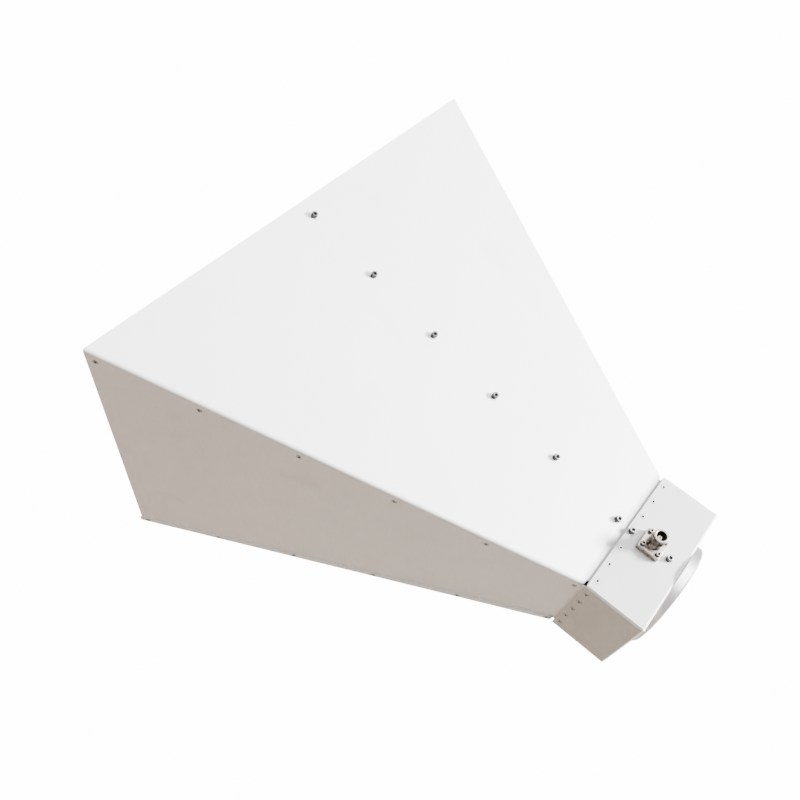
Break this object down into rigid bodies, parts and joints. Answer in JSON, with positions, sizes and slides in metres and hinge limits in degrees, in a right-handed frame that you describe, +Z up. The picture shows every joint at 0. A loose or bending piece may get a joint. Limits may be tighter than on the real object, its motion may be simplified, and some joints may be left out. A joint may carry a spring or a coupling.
{
  "type": "horn antenna",
  "caption": "Double-ridged horn antenna: folded sheet pyramid on a milled feed box, with a threaded coaxial socket on top and a round mounting disc behind.",
  "frame": {"origin": "centre of the mounting disc's rear face", "axes": "+X along the boresight towards the mouth, +Z up through the coaxial socket, +Y to the antenna's left"},
  "size_m": [0.555, 0.5674, 0.369],
  "materials": {
    "horn_sheet": "smooth satin off-white coating",
    "box_finish": "smooth satin off-white coating on a milled block",
    "ridge_metal": "milled, satin",
    "disc_metal": "turned, satin",
    "socket_nickel": "plated, slightly warm nickel",
    "insulator": "translucent white fluoropolymer",
    "contact_gold": "thin gold plating",
    "dark_screws": "dark stainless steel",
    "bright_screws": "plain stainless steel"
  },
  "bodies": {
    "root": {"top_panel": "horn_sheet", "bottom_panel": "horn_sheet", "left_panel": "horn_sheet", "right_panel": "horn_sheet", "upper_ridge": "ridge_metal", "lower_ridge": "ridge_metal", "feed_box": "box_finish", "mounting_disc": "disc_metal", "socket_body": "socket_nickel", "socket_insulator": "insulator", "centre_conductor": "contact_gold", "ridge_bush": "insulator", "socket_screws": "dark_screws", "upper_ridge_screws": "dark_screws", "lower_ridge_screws": "dark_screws", "box_top_ridge_screws": "dark_screws", "box_bottom_ridge_screws": "dark_screws", "upper_left_seam_screws": "bright_screws", "upper_right_seam_screws": "bright_screws", "lower_left_seam_screws": "bright_screws", "lower_right_seam_screws": "bright_screws", "top_throat_screws": "bright_screws", "bottom_throat_screws": "bright_screws", "left_throat_screws": "bright_screws", "right_throat_screws": "bright_screws", "disc_screws": "dark_screws"}
  },
  "joints": []
}
